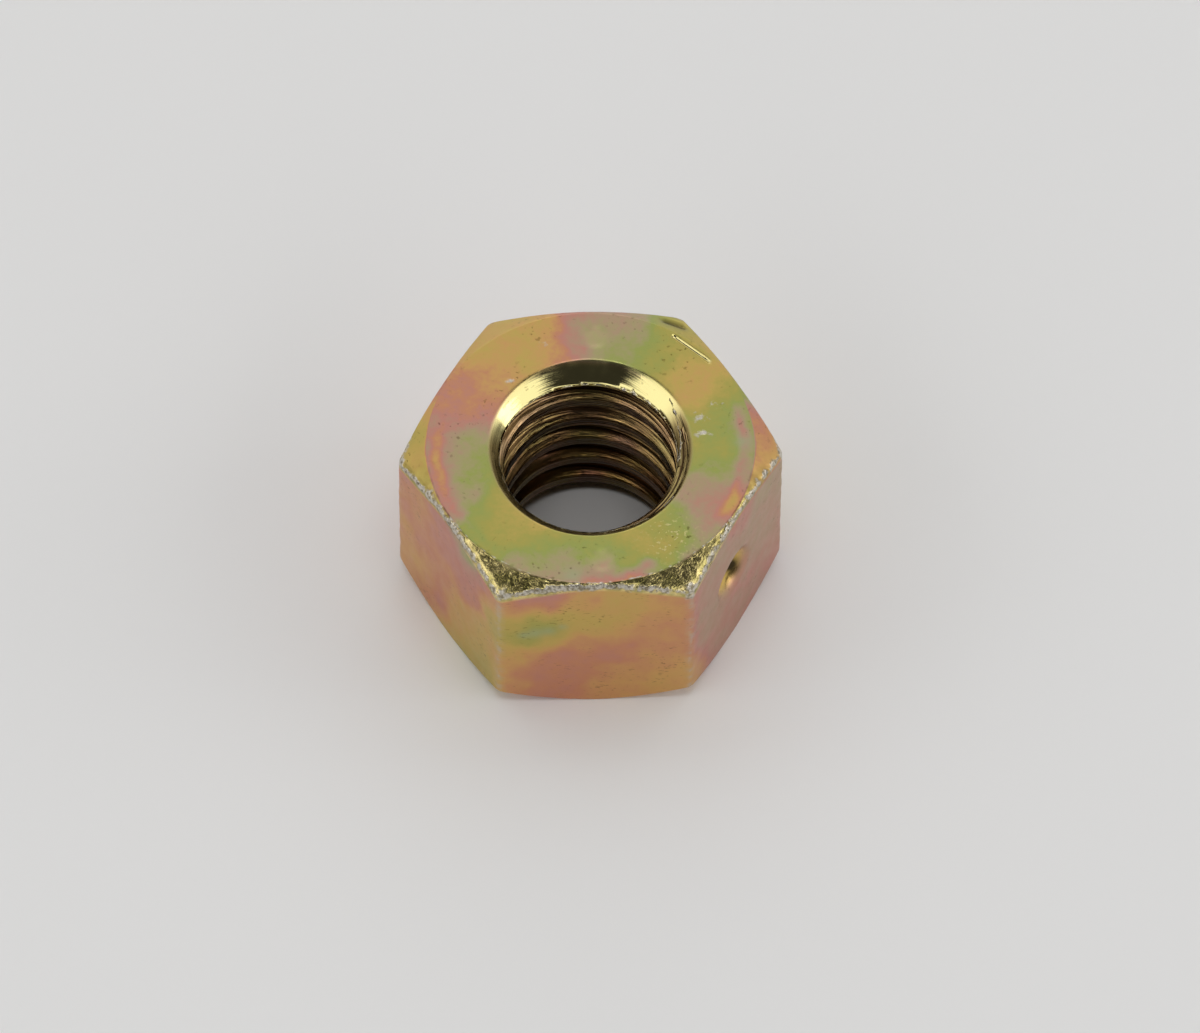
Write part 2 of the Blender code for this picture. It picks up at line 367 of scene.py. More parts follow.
def cone_radius(height, angle):
    """Radius of the two countersinks' cones, whichever is wider."""
    mouth = top_mouth_radius(angle)
    top = mouth - (HEIGHT - height) * (mouth - MINOR_RADIUS) / TOP_CONE_DEPTH
    bearing = MOUTH_RADIUS - height * BEARING_CONE_SLOPE
    return np.maximum(top, bearing)


def pitch_shares():
    """Place one pitch's rows from root to root: on its crest, at its edges and down its flanks."""
    edge = [CREST_HALF - CREST_ROUNDING, CREST_HALF, CREST_HALF + CREST_ROUNDING]
    flank = [CREST_HALF + FLANK_RUN * share for share in (0.36, 0.62, 0.85)]
    root = [PITCH / 2 - ROOT_HALF, PITCH / 2 - ROOT_HALF / 2]
    half = np.array([CREST_HALF / 2] + edge + flank + root)
    return np.concatenate([[-PITCH / 2], -half[::-1], [0], half]) / PITCH


def snap_to_cones(height, crest, angle, lowest, highest):
    """Move the rows beside each crossing of thread and cone onto it, in place."""
    gap = thread_radius(height - crest) - cone_radius(height, angle)
    crossing = gap[:-1] * gap[1:] < 0
    share = gap[:-1] / np.where(crossing, gap[:-1] - gap[1:], 1)
    target = height[:-1] + (height[1:] - height[:-1]) * share
    inner = (height[:-1] > lowest) & (height[1:] < highest)
    low_near = crossing & inner & (share < 0.5)
    high_near = crossing & inner & (share >= 0.5)
    height[:-1][low_near] = target[low_near]
    height[1:][high_near] = target[high_near]


def bore_rows(angle, lowest, highest):
    """List the rows up the bore, where the thread leaves the cones, and the rows in one pitch.

    Past the ends they stay at the lowest or the highest row, where they are merged.
    """
    pitch = pitch_shares()
    turns = np.concatenate([pitch + number for number in range(THREAD_TURNS)])
    crest = PITCH * (angle - THREAD_START) / (2 * pi)
    height = crest[None, :] + PITCH * turns[:, None]
    height = np.clip(height, lowest, highest)
    height[height < lowest + SEAM_TOLERANCE] = lowest
    height[height > highest - SEAM_TOLERANCE] = highest
    snap_to_cones(height, crest, angle, lowest, highest)

    cone = cone_radius(height, angle)
    gap = thread_radius(height - crest) - cone
    from_lip = np.minimum(highest - height, height - lowest)
    radius = cone + np.clip(gap, 0, None) * smooth_step(from_lip, 0, RUN_OUT)
    first_edge = np.abs(gap) < SEAM_TOLERANCE
    return np.stack([radius, height], axis=-1), first_edge, len(pitch)


# What was pressed or struck into the surface


def squeeze(points, angle):
    """Press the thread inwards behind each dent."""
    radius = from_axis(points)
    inward = np.zeros_like(radius)
    for flat_angle in DENTED_FLATS:
        turn = angle_between(angle, flat_angle)
        along = radius * np.sin(turn) - DENT_SHIFT
        above = points[..., 2] - DENT_LEVEL
        inward += SQUEEZE_DEPTH * (np.cos(turn) > 0) * bell(np.hypot(along, above), SQUEEZE_REACH)
    points[..., :2] *= ((radius - inward) / radius)[..., None]


def press_dents(points):
    """Sink the oval dents into their flats, and return how deep each point went."""
    total = np.zeros(points.shape[:-1])
    for flat_angle in DENTED_FLATS:
        out = np.array((cos(flat_angle), sin(flat_angle), 0))
        across = np.array((-sin(flat_angle), cos(flat_angle), 0))
        along = points @ across - DENT_SHIFT
        above = points[..., 2] - DENT_LEVEL
        from_middle = np.hypot(along / DENT_HALF_WIDTH, above / DENT_HALF_HEIGHT)
        bowl = 1 - from_middle**2
        depth = DENT_DEPTH * (bowl + np.hypot(bowl, DENT_SOFTNESS)) / 2
        depth *= points @ out > FLAT_DISTANCE / 2
        points -= depth[..., None] * out
        total += depth
    return total


def strike_marks(points):
    """Sink the bar and the round marks into the top face, and return how polished they are."""
    depth = np.zeros(points.shape[:-1])
    ring = (MOUTH_RADIUS + MARK_GAP + TOP_FACE_RADIUS) / 2
    for mark_angle in MARK_ANGLES:
        centre = np.array((ring * cos(mark_angle), ring * sin(mark_angle)))
        from_middle = np.linalg.norm(points[..., :2] - centre, axis=-1)
        depth += MARK_DEPTH * smooth_step(MARK_RADIUS - from_middle, 0, MARK_WALL)
    outward = points[..., 0] * cos(BAR_ANGLE) + points[..., 1] * sin(BAR_ANGLE) - BAR_RADIUS
    along = points[..., 1] * cos(BAR_ANGLE) - points[..., 0] * sin(BAR_ANGLE)
    past_end = np.clip(np.abs(along) - BAR_HALF_LENGTH + BAR_HALF_WIDTH, 0, None)
    from_line = np.hypot(outward, past_end)
    depth = np.maximum(depth, np.clip(BAR_HALF_WIDTH - from_line, 0, MARK_DEPTH))
    points[..., 2] -= depth
    bar = smooth_step(BAR_HALF_WIDTH - from_line, 0, 0.6 * MARK_DEPTH)
    return np.maximum(bar, MARK_POLISH * smooth_step(depth, 0, MARK_DEPTH))


def strike_nick(points):
    """Sink a short nick into the chamfer's outer edge, and return how much painted shade darkens it.
    """
    along = NICK_END - NICK_START
    offset = points[..., :2] - NICK_START
    share = np.clip(offset @ along / (along @ along), 0, 1)
    from_line = np.linalg.norm(offset - share[..., None] * along, axis=-1)
    nick = bell(from_line, NICK_HALF_WIDTH)
    points[..., 2] -= NICK_DEPTH * nick
    return nick


# Film thickness: 0 is pale khaki, then green, olive, gold, orange, salmon and mauve up to 1,
# where the colours start again. A bloom is a spot where the film has the thickness given last.

# Angle in degrees, distance from the axis, film
TOP_BLOOMS = [
    # Left and back left: gold and orange, with a pink and a grey-green streak
    (124, 4.4, 0.47),
    (138, 4.2, 0.58),
    (114, 4.2, 0.52),
    (109, 4.5, 0.40),
    (103, 3.8, 0.60),
    (99, 4.5, 0.66),
    (155, 4.5, 0.80),
    (155, 4.2, 0.62),
    (161, 3.9, 0.70),
    (175, 4.7, 0.72),
    (180, 4.4, 0.78),
    (192, 4.6, 0.74),
    (172, 3.9, 1.06),
    (181, 3.4, 1.12),
    (201, 4.4, 0.80),
    (168, 5.1, 0.68),
    (180, 5.3, 1.00),
    # Back: pink beside green round the back mark, then tan
    (88, 4.6, 0.74),
    (92, 4.2, 1.12),
    (80, 4.0, 1.14),
    (75, 4.6, 0.82),
    (63, 4.5, 1.16),
    (56, 4.2, 1.24),
    (54, 5.0, 1.45),
    (38, 4.0, 1.50),
    (29, 4.4, 1.52),
    # Right: green and olive, magenta and orange at the rim
    (20, 4.6, 1.20),
    (7, 4.4, 1.16),
    (2, 4.6, 1.08),
    (350, 4.0, 1.26),
    (356, 3.4, 1.32),
    (12, 5.0, 0.97),
    (352, 5.1, 0.90),
    (334, 3.8, 0.93),
    (327, 3.4, 0.86),
    (340, 4.4, 0.80),
    (333, 4.5, 0.62),
    # Front: green, olive and gold with pink islands
    (315, 3.8, 1.18),
    (306, 3.2, 1.38),
    (291, 3.6, 1.32),
    (302, 4.1, 1.42),
    (313, 4.4, 0.82),
    (275, 4.0, 1.24),
    (257, 4.1, 1.10),
    (252, 4.4, 0.84),
    (247, 4.4, 1.14),
    (242, 3.3, 1.42),
    (224, 3.6, 1.42),
    (225, 4.1, 1.20),
    (203, 3.6, 1.26),
]
# For each flat, by the angle that it faces: distance along it, height, film
FLAT_BLOOMS = {
    # Front: turquoise in an olive band, salmon below, orange along the slanting border
    270: [
        (-2.5, 5.1, 0.72),
        (-1.3, 5.2, 0.70),
        (0.1, 5.2, 0.46),
        (0.8, 5.3, 0.42),
        (2.1, 5.2, 0.60),
        (-2.4, 4.5, 0.50),
        (-0.4, 4.5, 0.50),
        (-1.8, 3.6, 0.16),
        (-2.4, 3.7, 0.28),
        (-1.3, 3.8, 0.20),
        (-0.3, 4.0, 0.36),
        (0.5, 3.9, 0.48),
        (-2.5, 2.6, 0.56),
        (-0.8, 3.0, 0.62),
        (0.9, 3.5, 0.66),
        (-2.2, 1.6, 0.72),
        (-1.1, 2.3, 0.72),
        (0.1, 2.8, 0.74),
        (1.3, 2.6, 0.68),
        (2.1, 1.9, 0.58),
        (0.9, 1.0, 0.60),
        (2.4, 1.0, 0.55),
        (-1.3, 0.8, 0.70),
        (1.8, 4.0, 0.60),
    ],
    # Left: pink-brown, olive towards its lower right
    210: [
        (-1.4, 4.3, 0.70),
        (0.3, 4.8, 0.76),
        (1.1, 4.3, 0.76),
        (-0.6, 3.0, 0.66),
        (1.5, 2.0, 0.50),
        (2.3, 1.2, 0.34),
        (-1.9, 5.2, 0.58),
        (-2.2, 1.7, 0.60),
    ],
    # Right: mauve-brown
    330: [
        (-1.7, 2.7, 0.88),
        (-1.2, 3.6, 0.86),
        (0.0, 4.4, 0.88),
        (1.6, 3.0, 0.87),
        (-0.8, 0.8, 0.84),
        (1.8, 0.9, 0.82),
        (2.4, 5.1, 0.92),
        (-2.0, 4.9, 0.88),
    ],
}
BLOOM_REACH = 0.8
WANDER, FINE_WANDER = 0.42, 0.14
WILD_WEIGHT = 0.015

# Cooler, turquoise spots, with their reach, on the front flat and on the top face
COOL_FLAT = 270
COOL_FLAT_SPOTS = [(-2.1, 3.5, 0.16), (-1.75, 3.6, 0.24), (-1.35, 3.7, 0.2), (-0.95, 3.9, 0.13)]
COOL_TOP_SPOTS = [(1, 4.5, 0.25), (262, 4.6, 0.3)]
COOLNESS = 0.6

# The film's steps beside the top face's rim, at the left and right
RIM_RING_RADIUS = 4.5
RIM_RING_REACH = 0.17
RIM_RING_DIP = 0.24
CHAMFER_DIP = 0.4

# Bare, whitish chips in the plating of the top face: angle in degrees, distance from the axis, reach
CHIPS = [(17, 3.45, 0.26), (7, 3.35, 0.22), (20, 4.04, 0.2), (109, 4.03, 0.18), (134, 3.33, 0.2)]


def at_top(angle, radius):
    """Give a place on the top face, by its angle in degrees and its distance from the axis."""
    return np.array((radius * cos(radians(angle)), radius * sin(radians(angle)), HEIGHT))


def on_flat(flat, along, height):
    """Give a place on the flat that faces an angle in degrees."""
    turn = radians(flat)
    x = FLAT_DISTANCE * cos(turn) - along * sin(turn)
    y = FLAT_DISTANCE * sin(turn) + along * cos(turn)
    return np.array((x, y, height))


# The pitted patch at the front right of the top face, which also carries painted glints
GLINTING_PITS_CENTRE = at_top(304, 3.95)
GLINTING_PITS_REACH = 0.65


def blooms():
    """List every bloom's place and film."""
    places = [(at_top(angle, radius), film) for angle, radius, film in TOP_BLOOMS]
    for flat, spots in FLAT_BLOOMS.items():
        places += [(on_flat(flat, along, height), film) for along, height, film in spots]
    return places


def near(points, place, reach):
    """Say how near each point is to a place: 1 there, and 0 a few reaches away."""
    return bell(np.linalg.norm(points - place, axis=-1), reach)


def wandering(points):
    """Shift the points a little here and there, so that the blooms get ragged borders."""
    warp = np.stack([ripple(points, 0.7, seed) for seed in (1, 2, 3)], axis=-1)
    fine_warp = np.stack([ripple(points, 0.25, seed) for seed in (21, 22, 23)], axis=-1)
    return points + WANDER * warp + FINE_WANDER * fine_warp


def rim_dip(points, zone, angle):
    """Thin the film in a ring inside the top face's rim, and past the rim on the chamfer."""
    beside = np.cos(angle) ** 2 * smooth_step(-np.sin(angle), -0.45, -0.15)
    radius = from_axis(points) + 0.12 * ripple(points, 0.7, 24)
    ring = (zone == "top_face") * bell(radius - RIM_RING_RADIUS, RIM_RING_REACH)
    ring *= raised_ripple(points, 1.5, 25, base=0.8)
    return beside * (RIM_RING_DIP * ring + CHAMFER_DIP * np.isin(zone, CHAMFER_ZONES))


def film_thickness(points, zone, angle):
    """Blend the blooms, and let the film wander by itself where none is near."""
    shifted = wandering(points)
    total = np.full(len(points), WILD_WEIGHT)
    film = WILD_WEIGHT * (0.68 + 0.55 * ripple(points, 2.4, 4))
    for place, value in blooms():
        weight = near(shifted, place, BLOOM_REACH)
        total += weight
        film += weight * value
    film = film / total + 0.05 * ripple(points, 0.8, 12) + 0.02 * ripple(points, 0.35, 13)
    film -= rim_dip(points, zone, angle)
    bore_film = 0.55 + 0.45 * ripple(points, 1.1, 5)
    return np.where(zone == "bore", bore_film, film)


def coolness(points):
    """Say how turquoise the film is."""
    spots = [(on_flat(COOL_FLAT, along, height), reach) for along, height, reach in COOL_FLAT_SPOTS]
    spots += [(at_top(angle, radius), reach) for angle, radius, reach in COOL_TOP_SPOTS]
    return COOLNESS * sum(near(points, place, reach) for place, reach in spots)


# Wear and dirt


def front_share(angle):
    """Say how close to the front a point is: 1 at the front three flats, little round the back."""
    least = 0.06
    toward_front = np.cos(angle - FRONT)
    return least + (1 - least) * smooth_step(toward_front, cos(radians(105)), cos(radians(85)))


def scuff_share(angle):
    """Say how far the chamfer is rubbed bright: at the front, and less beside the side flats."""
    return smooth_step(np.cos(angle - FRONT), cos(radians(82)), cos(radians(50)))


def corner_distance(angle):
    """Distance round the nut from the nearest corner."""
    return np.abs(angle_between(6 * angle, 0)) / 6 * FLAT_DISTANCE / cos(pi / 6)


def away_from_axis(angle):
    """Give the directions away from the axis."""
    return np.stack([np.cos(angle), np.sin(angle), np.zeros_like(angle)], axis=-1)


def crumple_edges(points, zone, angle):
    """Roughen the front chamfers and their outer edge. Return the edge's wear and the scuffing."""
    front = front_share(angle)
    hexagon = hexagon_radius(angle)
    from_edge = np.hypot(hexagon - from_axis(points), top_edge_height(hexagon) - points[:, 2])
    edge = bell(from_edge, EDGE_REACH + EDGE_SWAY * ripple(points, 0.4, 14)) * front
    tip = bell(from_edge, TIP_REACH) * bell(corner_distance(angle), TIP_HALF_LENGTH) * front
    scuff = np.isin(zone, CHAMFER_ZONES) * scuff_share(angle)
    depth = COARSE_SCUFF_DEPTH * raised_ripple(points, 0.45, 6)
    depth += FINE_SCUFF_DEPTH * raised_ripple(points, 0.15, 7, gain=1.2)
    depth = depth * scuff + edge * EDGE_DEPTH * raised_ripple(points, 0.25, 8, base=0.3)
    points -= depth[:, None] * (EDGE_WEAR_IN * away_from_axis(angle) + EDGE_WEAR_DOWN * UP)
    return np.maximum(EDGE_WEAR * edge, tip), scuff


def wear_sides(points, zone, angle):
    """Let the flats sway a little and wear their upright edges. Return how rubbed the edges are."""
    side = np.isin(zone, SIDE_ZONES)
    upright = side * bell(corner_distance(angle), UPRIGHT_REACH)
    depth = side * SIDE_SWAY_DEPTH * raised_ripple(points, 1.7, 9, gain=0.8)
    depth += upright * UPRIGHT_DEPTH * raised_ripple(points, 0.3, 10, base=0.6)
    points -= depth[:, None] * away_from_axis(angle)
    return upright


def weather(points, zone, angle):
    """Wear the surface in place, and return what the finish needs to know about it."""
    wear_and_highlight, scuff = crumple_edges(points, zone, angle)
    rub = wear_sides(points, zone, angle)
    top = np.isin(zone, TOP_ZONES)
    points[:, 2] -= top * TOP_SWAY_DEPTH * raised_ripple(points, 1.3, 11)
    rim = zone == "top_rim"
    wear_and_highlight = np.maximum(wear_and_highlight, RIM_WEAR * rim * scuff_share(angle))
    beside = bell(np.cos(angle - FRONT) - cos(radians(62)), 0.3)
    grime = (np.isin(zone, CHAMFER_ZONES) | rim) * beside
    # Pits, which the finish also paints with bright glints
    pitted_and_glinting = top * near(points, GLINTING_PITS_CENTRE, GLINTING_PITS_REACH)
    return {"wear_and_highlight": wear_and_highlight, "rub": rub, "scuff": scuff, "grime": grime, "pitted_and_glinting": pitted_and_glinting}


def dent_shade(points, angle, dent_depth):
    """Say how much painted shade darkens the bottom of each dent."""
    hollow_shade = np.zeros(len(points))
    for flat_angle in DENTED_FLATS:
        inside = (np.cos(angle - flat_angle) > 0) * smooth_step(dent_depth, 0.03, 0.1)
        along = from_axis(points) * np.sin(angle - flat_angle)
        hollow_shade += inside * bell(np.hypot(along - DENT_SHADE_SHIFT, points[:, 2] - DENT_SHADE_LEVEL), DENT_SHADE_REACH)
    return np.minimum(DENT_SHADE_AMOUNT * hollow_shade, 1)


def metal_shares(points, zone, angle, dent_depth, polish):
    """Say where the metal is smooth, and where painted shade darkens it: in the cone, the thread, the
    dents and the marks.
    """
    radius = from_axis(points)
    bore = zone == "bore"
    above = points[:, 2] > HEIGHT - 0.6
    cone = bore & above & (radius < cone_radius(points[:, 2], angle) + 0.02)
    lip = (zone == "top_lip") * smooth_step(top_mouth_radius(angle) - radius, -0.02, 0.1)
    stained = smooth_step(0.12 * np.cos(angle) - np.sin(angle), -0.5, -0.15) * (cone + lip)
    # Painted shade at the back of the thread, below the cone
    at_back = bore * ~cone * bell(angle_between(angle, BACK), BACK_THREAD_SHADE_REACH)
    return {
        "cone": np.maximum(np.maximum(cone, lip), polish),
        "thread": bore * np.where(cone, 0.12, 1.0),
        "stained": stained,
        # Painted shade: darker at the sides of the cone's front half, and at the back of the thread
        "cone_and_thread_shade": stained * np.cos(angle) ** 2 + BACK_THREAD_SHADE * at_back,
        "dent": smooth_step(dent_depth, 0.04, 0.28),
        # Painted shade at the bottom of each dent
        "hollow_shade": dent_shade(points, angle, dent_depth),
    }


def chip_wear(points):
    """Say where the top face's plating is chipped."""
    chips = [near(points, at_top(angle, radius), reach) for angle, radius, reach in CHIPS]
    return CHIP_WEAR * np.maximum.reduce(chips)


# The mesh


def grid_faces(index, pitch_rows, bore_start):
    """List the grid's faces, with the last column joined to the first one pitch further up."""
    rows, columns = index.shape
    shifted = np.arange(rows)
    shifted[bore_start:] = np.minimum(shifted[bore_start:] + pitch_rows, rows - 1)
    faces = []
    for row in range(rows):
        after = (row + 1) % rows
        for column in range(columns):
            beside = (column + 1) % columns
            near_row, far_row = (row, after) if beside else (shifted[row], shifted[after])
            corners = [
                index[row, column],
                index[after, column],
                index[far_row, beside],
                index[near_row, beside],
            ]
            corners = [int(corner) for corner in dict.fromkeys(corners)]
            if len(corners) > 2:
                faces.append(corners)
    return faces


def shared_index(bore_height, bore_start, lowest, highest):
    """Number the grid's points. A bore point past an end shares the number of that end's row."""
    rows, columns = bore_height.shape
    index = np.arange((bore_start + rows) * columns).reshape(-1, columns)
    bore = index[bore_start:]
    bore[...] = np.where(bore_height <= lowest, index[bore_start - 1], bore)
    bore[...] = np.where(bore_height >= highest, index[0], bore)
    return index


def shape_zone(points, chosen, change):
    """Change the chosen rows of the grid in place, and return what the change gives for each point."""
    rows = points[chosen]
    result = np.zeros(points.shape[:-1])
    result[chosen] = change(rows)
    points[chosen] = rows
    return result


def press_and_strike(points, zone, angle):
    """Dent, mark and squeeze the grid in place, and return what the finish needs to know."""
    dent_depth = shape_zone(points, np.isin(zone, SIDE_ZONES), press_dents)
    polish = shape_zone(points, np.isin(zone, TOP_ZONES), strike_marks)
    nicked = shape_zone(points, np.isin(zone, ("top_rim", *CHAMFER_ZONES)), strike_nick)
    bore = points[zone == "bore"]
    squeeze(bore, angle)
    points[zone == "bore"] = bore
    return dent_depth, polish, nicked


def finish_attributes(points, zone, angle, dent_depth, polish, nicked, first_edge):
    """Work out what the finish reads at each point, and wear the points in place."""
    attributes = {"film": film_thickness(points, zone, angle), "cool": coolness(points)}
    attributes |= metal_shares(points, zone, angle, dent_depth, polish)
    attributes |= weather(points, zone, angle)
    # Painted shade in the nick, beside that at the bottom of the dents
    attributes["hollow_shade"] = np.maximum(attributes["hollow_shade"], NICK_SHADE * nicked)
    # Burrs bare the thread's first edge all round; at the front, extra bare metal is a painted
    # highlight
    burr_and_highlight = (THREAD_EDGE_WEAR + FRONT_THREAD_EDGE_HIGHLIGHT * front_share(angle)) * first_edge
    attributes["wear_and_highlight"] = np.maximum.reduce([attributes["wear_and_highlight"], burr_and_highlight, chip_wear(points)])
    return attributes


def nut_mesh(points, faces, attributes):
    """Make the mesh, in metres, with its attributes."""
    mesh = bpy.data.meshes.new("nut_body")
    mesh.from_pydata((points * MM).tolist(), [], faces)
    mesh.shade_smooth()
    for name, values in attributes.items():
        layer = mesh.attributes.new(name, "FLOAT", "POINT")
        layer.data.foreach_set("value", values.astype(np.float32))
    return mesh


def nut_piece():
    """Make the nut: its grid, its shape, and the attributes that its finish reads."""
    angle = column_angles()
    outer, zones = outer_rows(angle)
    lowest, highest = outer[-1, 0, 1], outer[0, 0, 1]
    bore, bore_edge, pitch_rows = bore_rows(angle, lowest, highest)
    radius, height = np.moveaxis(np.concatenate([outer, bore]), -1, 0)
    points = np.stack([radius * np.cos(angle), radius * np.sin(angle), height], axis=-1)
    zone = np.array(zones + ["bore"] * len(bore))
    dent_depth, polish, nicked = press_and_strike(points, zone, angle)
    first_edge = np.concatenate([np.zeros((len(outer), len(angle))), bore_edge])

    index = shared_index(bore[..., 1], len(outer), lowest, highest)
    faces = grid_faces(index, pitch_rows, len(outer))
    used = np.unique(index)
    renumber = np.zeros(index.size, int)
    renumber[used] = np.arange(len(used))
    faces = [[int(renumber[corner]) for corner in face] for face in faces]

    points = points.reshape(-1, 3)[used]
    zone = np.repeat(zone, len(angle))[used]
    angle = np.tile(angle, len(radius))[used]
    shares = [values.ravel()[used] for values in (dent_depth, polish, nicked, first_edge)]
    attributes = finish_attributes(points, zone, angle, *shares)
    piece = bpy.data.objects.new("nut_body", nut_mesh(points, faces, attributes))
    bpy.context.scene.collection.objects.link(piece)
    return piece


# Nodes


def add_node(tree, kind, inputs=None, **settings):
    """Add a node, set what it says, and feed its inputs with values or other nodes' outputs."""
    node = tree.nodes.new(kind)
    for name, value in settings.items():
        setattr(node, name, value)
    for key, value in (inputs or {}).items():
        if isinstance(value, bpy.types.NodeSocket):
            tree.links.new(value, node.inputs[key])
        else:
            node.inputs[key].default_value = value
    return node


def read(tree, name):
    """Read one of the mesh's attributes."""
    return add_node(tree, "ShaderNodeAttribute", attribute_name=name).outputs["Fac"]


def lumps(tree, place, scale, detail=2.0):
    """Noise between 0 and 1, with this many lumps to a millimetre."""
    inputs = {"Vector": place, "Scale": scale, "Detail": detail}
    return add_node(tree, "ShaderNodeTexNoise", inputs).outputs["Fac"]


def calculate(tree, operation, first, second=0.0):
    """Combine two numbers."""
    node = add_node(tree, "ShaderNodeMath", {0: first, 1: second}, operation=operation)
    return node.outputs[0]


def multiply(tree, first, second):
    """Multiply two numbers."""
    return calculate(tree, "MULTIPLY", first, second)


def ranged(tree, value, low, high, new_low=0.0, new_high=1.0):
    """Carry a number from one range to another, and hold it inside."""
    inputs = {0: value, 1: low, 2: high, 3: new_low, 4: new_high}
    return add_node(tree, "ShaderNodeMapRange", inputs).outputs[0]


def swinging(tree, value, low, high, swing):
    """Carry a number from one range to the range between minus and plus swing."""
    return ranged(tree, value, low, high, -swing, swing)


def blend_colours(tree, factor, first, second, how="MIX"):
    """Blend two colours."""
    inputs = {0: factor, 6: first, 7: second}
    node = add_node(tree, "ShaderNodeMix", inputs, data_type="RGBA", blend_type=how)
    return node.outputs[2]


def blend_numbers(tree, factor, first, second):
    """Blend two numbers."""
    return add_node(tree, "ShaderNodeMix", {0: factor, 2: first, 3: second}).outputs[0]


def bump(tree, height, depth, normal=None):
    """Tilt the normal by a height between 0 and 1, which stands for a depth in millimetres."""
    inputs = {"Height": height, "Strength": 1.0, "Distance": depth * MM}
    if normal:
        inputs["Normal"] = normal
    return add_node(tree, "ShaderNodeBump", inputs).outputs[0]


# The finish

FILM_COLOURS = [
    (0.00, (0.46, 0.40, 0.20)),
    (0.12, (0.38, 0.42, 0.12)),
    (0.28, (0.47, 0.42, 0.11)),
    (0.44, (0.62, 0.45, 0.13)),
    (0.57, (0.68, 0.40, 0.15)),
    (0.68, (0.64, 0.30, 0.17)),
    (0.76, (0.60, 0.28, 0.22)),
    (0.90, (0.51, 0.35, 0.23)),
    (1.00, (0.46, 0.40, 0.20)),
]
TURQUOISE = (0.40, 0.47, 0.26, 1)
BARE_METAL = (0.66, 0.61, 0.52, 1)
TARNISH = (0.20, 0.16, 0.08, 1)
RUBBED_EDGE = (0.58, 0.49, 0.38, 1)
SCUFFED_GOLD = (0.80, 0.66, 0.28, 1)
DULL_GOLD = (0.50, 0.43, 0.15, 1)
BRIGHT_GOLD = (0.74, 0.65, 0.29, 1)
STAINED_GOLD = (0.58, 0.46, 0.20, 1)
BORE_GOLD = (0.62, 0.47, 0.22, 1)
# Painted shade low in the bore, and the dark tool lines along the thread
DEEP_BROWN = (0.11, 0.065, 0.025, 1)
DENT_GOLD = (0.74, 0.50, 0.14, 1)
# Painted shade at the bottom of the dents and in the nick
HOLLOW_SHADE_COLOUR = (0.05, 0.035, 0.015, 1)
SPECK_TINT = (0.30, 0.25, 0.20, 1)
# Multiplied over grime, and over the painted shade at the back of the thread and the sides of the cone
GRIME_AND_SHADE_TINT = (0.50, 0.46, 0.42, 1)

PLATED_ROUGHNESS = 0.38
THREAD_ROUGHNESS = 0.16
CONE_ROUGHNESS = 0.1
STAINED_ROUGHNESS = 0.24
DENT_ROUGHNESS = 0.12
SCUFFED_ROUGHNESS = 0.22
BARE_ROUGHNESS = 0.3

# How many lumps the finish's noises have to a millimetre
CLOUD_LUMPS = 1.3
GRAIN_LUMPS = 6.0
TOOL_LINE_LUMPS = 3.0
STREAK_LUMPS = 3.5
GRIME_LUMPS = 3.0
GLINTING_PIT_LUMPS = 8.0
SPECK_PATCH_LUMPS = 0.8
SPECK_LUMPS = 10.0
RAGGED_LUMPS = 4.0
TARNISH_LUMPS = 9.0
MOTTLE_LUMPS = 2.5
PEEL_LUMPS = 12.0
SCUFF_LUMPS = 7.0
CRUMPLE_LUMPS = 9.0

# Depths of the fine relief, in millimetres
PEEL_DEPTH = 0.002
PIT_DEPTH = 0.01
TOOL_LINE_DEPTH = 0.05
SCUFF_DEPTH = 0.009
BARE_METAL_DEPTH = 0.03


def film_colour(tree, film):
    """Give the interference colour of the film, which comes round again as it thickens."""
    ramp = add_node(tree, "ShaderNodeValToRGB", {0: calculate(tree, "FRACT", film)})
    stops = ramp.color_ramp.elements
    for position, colour in FILM_COLOURS[1:-1]:
        stops.new(position)
    for stop, (position, colour) in zip(stops, FILM_COLOURS):
        stop.position = position
        stop.color = (*colour, 1)
    return ramp.outputs[0]


def millimetre_place(tree):
    """Give the place on the object, in millimetres."""
    inputs = {0: add_node(tree, "ShaderNodeTexCoord").outputs["Object"], "Scale": 1 / MM}
    return add_node(tree, "ShaderNodeVectorMath", inputs, operation="SCALE").outputs[0]


def height_of(tree, place):
    """Give the height above the bearing face, in millimetres."""
    return add_node(tree, "ShaderNodeSeparateXYZ", {0: place}).outputs["Z"]


def tool_lines(tree, place):
    """Noise drawn out along the thread, as the tap leaves it."""
    stretch = 0.14
    parts = add_node(tree, "ShaderNodeSeparateXYZ", {0: place}).outputs
    turn = calculate(tree, "ARCTAN2", parts["Y"], parts["X"])
    phase = calculate(tree, "SUBTRACT", multiply(tree, parts["Z"], 2 * pi / PITCH), turn)
    inputs = {0: calculate(tree, "COSINE", phase), 1: calculate(tree, "SINE", phase)}
    ring = add_node(tree, "ShaderNodeCombineXYZ", inputs).outputs[0]
    inputs = {0: place, 1: (stretch, stretch, stretch), 2: ring}
    along = add_node(tree, "ShaderNodeVectorMath", inputs, operation="MULTIPLY_ADD").outputs[0]
    return lumps(tree, along, TOOL_LINE_LUMPS, 4.0)


def film_layer(tree, place):
    """Colour the film, mottled on the top face and less on the sides."""
    cloud = swinging(tree, lumps(tree, place, CLOUD_LUMPS, 3.0), 0.2, 0.8, 0.08)
    grain = swinging(tree, lumps(tree, place, GRAIN_LUMPS, 4.0), 0.2, 0.8, 0.055)
    at_top_face = ranged(tree, height_of(tree, place), HEIGHT - 0.3, HEIGHT - 0.05, 0.35, 1.0)
    mottling = multiply(tree, calculate(tree, "ADD", cloud, grain), at_top_face)
    film = calculate(tree, "ADD", read(tree, "film"), mottling)
    return blend_colours(tree, read(tree, "cool"), film_colour(tree, film), TURQUOISE)


